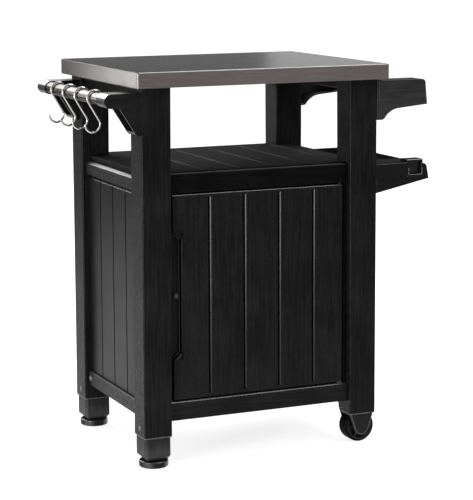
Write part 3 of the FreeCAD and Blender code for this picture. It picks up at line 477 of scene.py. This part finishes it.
# The shelf's front rail gets a darker copy of the board resin: a painted shade for the shade under the worktop's
# overhang.
shaded_header_resin = resin("shaded_header_resin", 0, (0.0012, 0.0012, 0.0013), (0.0045, 0.0046, 0.0049), 0.5, 0.03, crown=0.0)
panel_resin = {wall: resin("panel_resin_" + wall, 2, *CHARCOAL, groove=(axis, 0))
               for wall, axis in (("side", 1), ("back", 0))}
door_resin = resin("door_resin", 2, *CHARCOAL, burnish=0.2, crown=0.8, groove=(0, 1), gaps=(DOOR_JOINTS, GRIP_WALL))
ledge_resin = resin("ledge_resin", 1, (0.003, 0.0031, 0.0033), (0.0155, 0.0157, 0.0161), burnish=0.34,
                    crown=0.0, mottle=0.3)
leg_resin = resin("leg_resin", 2, (0.004, 0.0041, 0.0043), (0.015, 0.0152, 0.0156), gloss=0.045, burnish=0.06,
                  mottle=0.2)
fitting_resin = {way: resin("fitting_resin_" + way, axis, (0.018, 0.0181, 0.0186), (0.038, 0.0382, 0.039))
                 for way, axis in GRAIN.items() if way != "upright"}
foot_resin = resin("foot_resin", 2, (0.008, 0.008, 0.0083), (0.018, 0.018, 0.0185), 0.45, burnish=0.8)
# The blocks' resin gets darker upwards between 22 and 76 mm: painted light from the floor.
block_resin = resin("block_resin", 2, (0.018, 0.018, 0.0183), (0.046, 0.046, 0.0465), 0.5, mottle=0.12,
                    paler=(0.022, 0.076))
fork_resin = resin("fork_resin", 2, (0.013, 0.013, 0.0133), (0.026, 0.026, 0.0265), 0.6, 0.03, 0.8)
# A pale resin for the lips, screw rings and beads: its pale colour is a painted highlight, the thin line of light
# that these small rounded edges catch.
pale_highlight_resin = resin("pale_highlight_resin", 2, (0.04, 0.04, 0.0405), (0.09, 0.09, 0.091), 0.3, 0.5, 1.0)
bracket_resin = resin("bracket_resin", 0, (0.004, 0.0041, 0.0043), (0.0125, 0.0127, 0.0131), burnish=0.2, crown=0.8,
                      dull=0.36, top=0.6)
tray_resin = resin("tray_resin", 1, (0.005, 0.0051, 0.0054), (0.0125, 0.0127, 0.0131), 0.5, 0.04, 1.0, 1.0)
hub_resin = resin("hub_resin", 1, (0.003, 0.003, 0.0031), (0.006, 0.006, 0.0062), 0.45, 0.15)
core_resin = resin("core_resin", 0, (0.006, 0.006, 0.0062), (0.01, 0.01, 0.0105), 0.6)
tread_rubber = resin("tread_rubber", 1, (0.0008, 0.0008, 0.0008), (0.0025, 0.0025, 0.0025), 0.6, 0.03, 0.05, 0.0)
print("resins", [m.name for m in bpy.data.materials if "resin" in m.name])

# %% [markdown]
# ## The latch's knob
# The knob's middle is painted pale: a painted highlight. How pale depends on how far a point is from the
# knob's axis. A Mapping node gives that: it puts the origin on the axis and leaves out the direction along
# it, so that the length of what is left is the distance.

# %% A knob with a painted highlight
LATCH_X, LATCH_Z = -0.206, 0.39
PORES, PORE_DEPTH = 700, 0.0003
KNOB_HIGHLIGHT_RADII = 0.0016, 0.0032


def latch_finish():
    """Dark resin, painted pale around the knob's middle as a painted highlight."""
    finish = Finish("latch_resin", specular_ior_level=0.3)
    from_axis = finish.add("ShaderNodeMapping", None, {"Vector": finish.place(), "Location": (-LATCH_X, 0, -LATCH_Z),
                                                       "Scale": (1, 0, 1)})
    far = finish.add("ShaderNodeVectorMath", {"operation": "LENGTH"}, {0: from_axis}, out=1)
    pebble = finish.noise(PORES)
    # Painted highlight: the knob's middle is painted pale, fading out between the two radii.
    knob_highlight = far.ramp(*KNOB_HIGHLIGHT_RADII, 1.0, 0.0) * (pebble + 0.4)
    finish.feed(base_color=finish.colours(knob_highlight, (0.003, 0.003, 0.003), (0.16, 0.16, 0.16)),
                roughness=0.3 + pebble * 0.2, normal=finish.bump(pebble, PORE_DEPTH, 0.5))
    return finish.material


latch_resin = latch_finish()
print(latch_resin.name, "has", len(latch_resin.node_tree.nodes), "nodes")

# %% [markdown]
# ## Steel
# The worktop is brushed stainless sheet, the tool rail a drawn tube, and the hooks bright bent wire.
# Brushing is thousands of fine scratches in one direction: a noise that is stretched eightyfold along
# the brushing and feeds roughness and a very shallow bump.

# %% Steel finishes
SCRATCHES, STEEL_CLOUDS = 900, 5  # lumps to the metre


def steel(name, brush, dark, light, smooth, spread=0.14, depth=0.00012, edge=0.3, shaded_sides=(), fold=1.0):
    """Metal whose roughness and bump follow scratches along brush (0, 1 or 2), with soft clouds of tone.

    smooth is the mean roughness and spread its range, depth the scratches' in metres, and edge the tint of
    what is mirrored at a low angle. sides gives (axis, way, tint) for faces whose colour is painted darker
    than the rest, a painted shade, and fold how bright a bend is.
    """
    finish = Finish(name, metallic=1.0, specular_tint=(edge, edge, edge))
    scratches = finish.noise(SCRATCHES, stretched(brush, 0.012), 2.0, 0.7)
    clouds = finish.noise(STEEL_CLOUDS)
    tone = finish.colours((scratches * 0.6 + clouds * 0.4).ramp(0.3, 0.7), dark, light)
    tone = finish.tinted(tone, finish.slant().ramp(0.02, 0.2), (fold, fold, fold))
    # Painted shade: faces that look along each listed way are tinted darker.
    for axis, way, tint in shaded_sides:
        tone = finish.tinted(tone, (finish.facing(axis) * way).ramp(0.75, 0.98), tint)
    finish.feed(base_color=tone, roughness=smooth + (scratches - 0.5) * spread,
                normal=finish.bump(scratches, depth, 0.6))
    return finish.material


# Painted shade on the worktop sheet: its front, top and right faces are painted darker than its left face.
SHEET_SHADED_SIDES = (1, -1, (0.47, 0.405, 0.405)), (2, 1, (0.45, 0.44, 0.445)), (0, 1, (0.4, 0.4, 0.4))
worktop_steel = steel("worktop_steel", 0, (0.40, 0.385, 0.38), (0.5, 0.485, 0.48), 0.26, edge=0.06,
                      shaded_sides=SHEET_SHADED_SIDES, fold=0.5)
rail_steel = steel("rail_steel", 1, (0.17, 0.165, 0.155), (0.26, 0.25, 0.235), 0.2)
hook_steel = steel("hook_steel", 2, (0.4, 0.39, 0.37), (0.5, 0.49, 0.47), 0.12, 0.05, 0.00003)
opener_steel = steel("opener_steel", 0, (0.012, 0.012, 0.0125), (0.035, 0.035, 0.036), 0.35)
pin_steel = steel("pin_steel", 2, (0.03, 0.03, 0.031), (0.05, 0.05, 0.051), 0.5)
screw_black = steel("screw_black", 1, (0.12, 0.12, 0.122), (0.2, 0.2, 0.202), 0.4)
print("steels", [m.name for m in bpy.data.materials if "steel" in m.name])

# %% [markdown]
# ## Who wears what
# Each node keeps its shape and gets the finish whose grain runs the way its board does. A table gives, for
# each finish, the starts of the names of its nodes. The first finish that fits counts, and a node that
# fits none is a board that runs across the cart.

# %% Finishes on the nodes
WEARS = {
    worktop_steel: ("worktop_sheet",), core_resin: ("worktop_core",), rail_steel: ("tool_rail",),
    opener_steel: ("bottle_opener",), pin_steel: ("door_pins", "wheel_axles"), latch_resin: ("door_latch",),
    screw_black: ("leg_screws", "rail_screws"), fitting_resin["deep"]: ("roll_rod",), tray_resin: ("tray",),
    leg_resin: ("leg_",), block_resin: ("foot_block",), fork_resin: ("wheel_fork",), hook_steel: ("hook_",),
    foot_resin: ("levelling_foot",), hub_resin: ("wheel_hub",), tread_rubber: ("wheel_tread",),
    fitting_resin["across"]: ("arm_",), bracket_resin: ("rail_bracket",), panel_resin["back"]: ("panel_rear",),
    panel_resin["side"]: ("panel_",), board["upright"]: ("jamb_",), door_resin: ("door_leaf",),
    ledge_resin: ("shelf_side_rail", "low_rail_right", "low_rail_left"), deck_resin: ("shelf_deck",),
    shaded_header_resin: ("shelf_front_rail",),
    board["deep"]: ("apron_right", "apron_left", "inner_shelf", "cupboard_floor"),
}
worn = {node: next((finish for finish, starts in WEARS.items() if node.startswith(starts)), board["across"])
        for node in frame["nodes"]}
for node, shown in frame["nodes"].items():
    shown.data.materials.clear()
    shown.data.materials.append(worn[node])
print({finish.name: list(worn.values()).count(finish) for finish in WEARS})

# %% [markdown]
# ## Eased edges
# No moulded board has a knife edge: its corners have a small radius that picks up a thin line of light.
# The solids leave those tiny radii out. They could be drawn one by one, but a copy of each board with its
# coplanar triangles joined up and a Bevel modifier on every edge sharper than 30 degrees gives them all.
# The solids themselves stay as they are; the copy only shows in their place.

# %% Copies with eased edges
FLAT, SHARP = math.radians(0.6), math.radians(30)


def finished(work, name, material):
    """A mesh from a worked-on bmesh, smooth shaded and with its one material."""
    for face in work.faces:
        face.smooth = True
    mesh = bpy.data.meshes.new(name)
    work.to_mesh(mesh)
    work.free()
    mesh.materials.append(material)
    return mesh


def eased(node, radius):
    """A copy of a node whose sharp edges are rounded by radius; the copy stands for the node.

    The Weighted Normal modifier gives each rounded edge the direction of the large face beside it, so
    that the flat faces stay flat.
    """
    bare = frame["nodes"][node]
    work = bmesh.new()
    work.from_mesh(bare.data)
    bmesh.ops.remove_doubles(work, verts=work.verts, dist=2e-6)
    bmesh.ops.dissolve_limit(work, angle_limit=FLAT, verts=work.verts, edges=work.edges)
    piece = in_scene(node + "_eased", finished(work, node + "_eased", worn[node]))
    rounding = piece.modifiers.new("rounding", "BEVEL")
    rounding.width, rounding.segments, rounding.limit_method, rounding.angle_limit = radius, 2, "ANGLE", SHARP
    piece.modifiers.new("flat_faces", "WEIGHTED_NORMAL").weight = 90
    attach(piece, body_of(bare)[0])
    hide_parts(node)
    return piece


# The radius of the eased edges, and the starts of the names of the nodes that have them. The foot blocks
# have none: their bores end where the feet's stems stop, and an eased corner there would cut into the stem.
EASED = {0.0006: ("panel_",),
         0.0012: ("leg_front", "leg_rear", "low_rail", "shelf_", "apron_", "jamb_", "door_leaf", "cupboard_floor",
                  "inner_shelf"),
         0.0009: ("arm_", "wheel_fork", "door_latch"), 0.0018: ("rail_bracket",), 0.0024: ("tray",)}
copies = [eased(node, radius) for radius, starts in EASED.items()
          for node in frame["nodes"] if node.startswith(starts)]
print(len(copies), "boards and mouldings with eased edges")

# %% [markdown]
# ## A skin over rows of points
# Small mouldings are easiest as a surface worked out in one go: rows of points, where each row is a
# closed ring carried a little further along a path. One helper turns such an array into a closed mesh.
# Its normals are recalculated at the end, so it doesn't matter which way round the rows were made.

# %% Rows of points to a closed piece
def skin(name, parts, material, body, nodes=()):
    """One piece from arrays of shape (rows, ring, 3): point (i, j) joins (i, j + 1) and (i + 1, j).

    Rings are closed. A part whose first and last rows are equal closes on itself; otherwise its end rings
    have shrunk to a point. Doubled points are merged, which closes seams and poles. The piece rides body
    and stands for the nodes, if any.
    """
    points, faces, start = [], [], 0
    for rows in parts:
        count, ring = rows.shape[:2]
        i, j = np.meshgrid(np.arange(count - 1), np.arange(ring), indexing="ij")
        here, beside = i * ring + j, i * ring + (j + 1) % ring
        faces.append(np.stack([here, beside, beside + ring, here + ring], -1).reshape(-1, 4) + start)
        points.append(rows.reshape(-1, 3))
        start += count * ring
    raw = bpy.data.meshes.new(name + "_raw")
    raw.from_pydata(np.concatenate(points).tolist(), [], np.concatenate(faces).tolist())
    work = bmesh.new()
    work.from_mesh(raw)
    bpy.data.meshes.remove(raw)
    bmesh.ops.remove_doubles(work, verts=work.verts, dist=1e-6)
    bmesh.ops.recalc_face_normals(work, faces=work.faces)
    piece = in_scene(name, finished(work, name, material))
    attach(piece, body)
    if nodes:
        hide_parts(*nodes)
    print(name, len(piece.data.vertices), "points on", body)


# %% [markdown]
# ## Lips under the legs
# Where a block or a fork enters a leg, a small rounded lip shows as a pale line all round; that pale line is a
# painted highlight, in the lip's pale resin. It is an ellipse carried round the outline of the leg. The outline
# has round corners, because a sharp corner would fold the ellipse over itself.

# %% A lip round each leg's lower end
def turn(steps):
    """So many angles round a full turn, without the last, which is the first again."""
    return np.arange(steps) * (2 * np.pi / steps)


SECTION = turn(12)
LIP_HEIGHT, LIP_INSET = 0.0718, 0.0008
LEG_FLARE, WHEEL_LEG_CHAMFER = 0.0035, 0.019


def leg_lip(low, high, z, corner=0.0035, out=0.0009, tall=0.0012):
    """Point (i, j) = outline(i) + out * cos(j) * outward(i), at height z + tall * sin(j).

    The outline runs round the rectangle from low to high with corners of radius corner.
    """
    angle = turn(32) + np.pi / 32
    outward = np.stack([np.cos(angle), np.sin(angle)], -1)
    middle, half = (np.array(low) + high) / 2, (np.array(high) - low) / 2 - corner
    outline = middle + half * np.sign(outward) + corner * outward
    flat = outline[:, None] + out * np.cos(SECTION)[None, :, None] * outward[:, None]
    height = np.broadcast_to(z + tall * np.sin(SECTION), flat.shape[:2])
    rows = np.concatenate([flat, height[..., None]], -1)
    return np.concatenate([rows, rows[:1]])


def leg_end(leg, chamfer):
    """Two corners of a leg's lower outline, a little inside its faces.

    The leg's two inner faces stand back by its flare at the lower end, and a wheel leg is also cut off
    there, towards Y 0, by its chamfer.
    """
    low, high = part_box(leg)
    inner, outer = sorted((low[0], high[0]), key=abs)
    near, far = sorted((low[1], high[1]), key=abs)
    inner += math.copysign(LEG_FLARE + LIP_INSET, outer)
    near += math.copysign(LEG_FLARE + LIP_INSET + chamfer, far)
    outer -= math.copysign(LIP_INSET, outer)
    far -= math.copysign(LIP_INSET, far)
    return (min(inner, outer), min(near, far)), (max(inner, outer), max(near, far))


lips = [leg_lip(*leg_end(leg, WHEEL_LEG_CHAMFER if "right" in leg else 0.0), LIP_HEIGHT)
        for leg in ("leg_front_left", "leg_rear_left", "leg_front_right", "leg_rear_right")]
skin("leg_lips", lips, pale_highlight_resin, "cart")

# %% [markdown]
# ## Screws
# The blocks and low rails are held by round-headed cross screws, each in a raised ring of the moulding. A
# head is a dome with a cross pressed into it, so its height over the seat is a function of radius and angle.

# %% Screw heads and their rings
AROUND = turn(64)
CROSS_HALF_WIDE, CROSS_REACH, CROSS_SLOPE, END_SLOPE = 0.0008, 0.0034, 0.0003, 0.0006
SEATING = 0.001


def screw_head(seat, way, radius=0.005, dome=0.0016, cross=0.0009):
    """Height = dome * sqrt(1 - (r / radius)^2) - cross * arms, where arms is 1 in the middle of the cross's
    bars and falls to 0 at 0.8 mm from their lines and 3.4 mm out.

    The rows get closer towards the rim, where the dome is steep. Below the rim the skin goes on into the
    seat and closes there. way is 1 for a screw that looks right and -1 for one that looks left.
    """
    steep = np.sin(np.linspace(0.94, 1, 6) * np.pi / 2)[1:]
    r = radius * np.concatenate([np.linspace(0, 0.94, 16), steep])[:, None]
    a, b = r * np.cos(AROUND), r * np.sin(AROUND)
    arms = (np.clip((CROSS_HALF_WIDE - np.minimum(abs(a), abs(b))) / CROSS_SLOPE, 0, 1)
            * np.clip((CROSS_REACH - r) / END_SLOPE, 0, 1))
    height = dome * np.sqrt(np.clip(1 - (r / radius) ** 2, 0, 1)) - cross * arms
    rows = np.stack([height, a, b], -1)
    rim = rows[-1:] * (0, 1, 1) - (SEATING, 0, 0)
    return np.concatenate([rows, rim, rim * (1, 0, 0)]) * (way, 1, 1) + seat


def screw_ring(seat, way, radius=0.0068, thick=0.0006):
    """A torus: point (i, j) = (thick * sin(j), (radius + thick * cos(j)) * (cos(i), sin(i)))."""
    around = np.append(AROUND, 0.0)[:, None]
    reach = radius + thick * np.cos(SECTION)
    height = np.broadcast_to(thick * np.sin(SECTION), (len(around), len(SECTION)))
    return np.stack([height, reach * np.cos(around), reach * np.sin(around)], -1) * (way, 1, 1) + seat


SEATS = {"leg_screws": (0.293, 0.2005, 0.091), "rail_screws": (0.284, 0.153, 0.127)}
for node, (x, y, z) in SEATS.items():
    places = [((way * x, side * y, z), way) for way in (-1, 1) for side in (-1, 1)]
    skin(node + "_heads", [screw_head(*place) for place in places], screw_black, "cart", [node])
    # The rings are in the pale resin: a painted highlight round their rims.
    skin(node + "_rings", [screw_ring(*place) for place in places], pale_highlight_resin, "cart")

# %% [markdown]
# ## Beads
# Two thin beads catch the light in the photograph: one lies in the corner between the floor and the wall of
# the door's finger grip, and one borders the mouth of the bottle opener. Each is a thin round bar carried
# along a bent line; the line is resampled so that the bar turns its corners in small steps.

# %% Beads in the grip and at the opener
def bead(corners, radius=0.0008, bend=0.0025, steps=6):
    """Point (i, j) = line(i) + radius * (cos(j) * side(i) + sin(j) * up), with up along Y.

    The line lies in a plane of constant Y. In place of each corner goes a quadratic curve, which leaves the
    line at the length bend before the corner and joins it again as far after it.
    """
    corners = np.array(corners, float)
    runs = np.diff(corners, axis=0)
    lengths = np.linalg.norm(runs, axis=1, keepdims=True)
    ways = runs / lengths
    before, after = corners[1:-1] - bend * ways[:-1], corners[1:-1] + bend * ways[1:]
    s = np.linspace(0, 1, steps)[None, :, None]
    curves = (1 - s) ** 2 * before[:, None] + 2 * s * (1 - s) * corners[1:-1, None] + s ** 2 * after[:, None]
    line = np.concatenate([corners[:1], curves.reshape(-1, 3), corners[-1:]])
    up = np.array((0.0, 1.0, 0.0))
    side = np.cross(np.gradient(line, axis=0), up)
    side /= np.linalg.norm(side, axis=1, keepdims=True)
    ring = radius * (np.cos(SECTION)[None, :, None] * side[:, None] + np.sin(SECTION)[None, :, None] * up)
    start, end = [np.repeat(line[k][None, None], len(SECTION), 1) for k in (0, -1)]
    return np.concatenate([start, line[:, None] + ring, end])


def at_depth(y, corners):
    """Corners (x, z) as points (x, y, z)."""
    return [(x, y, z) for x, z in corners]


GRIP_FLOOR, TRAY_FACE = -0.2081, -0.2356
grip_line = at_depth(GRIP_FLOOR, [(-0.2154, 0.5384), (-0.1968, 0.5194), (-0.1968, 0.2606), (-0.2154, 0.2416)])
# Both beads are in the pale resin: their pale colour is a painted highlight.
skin("grip_bead", [bead(grip_line)], pale_highlight_resin, "door")
mouth_line = at_depth(TRAY_FACE, [(0.3772, 0.650), (0.3772, 0.6346), (0.4124, 0.6346), (0.4124, 0.650)])
skin("opener_bead", [bead(mouth_line)], pale_highlight_resin, "cart")

# %% [markdown]
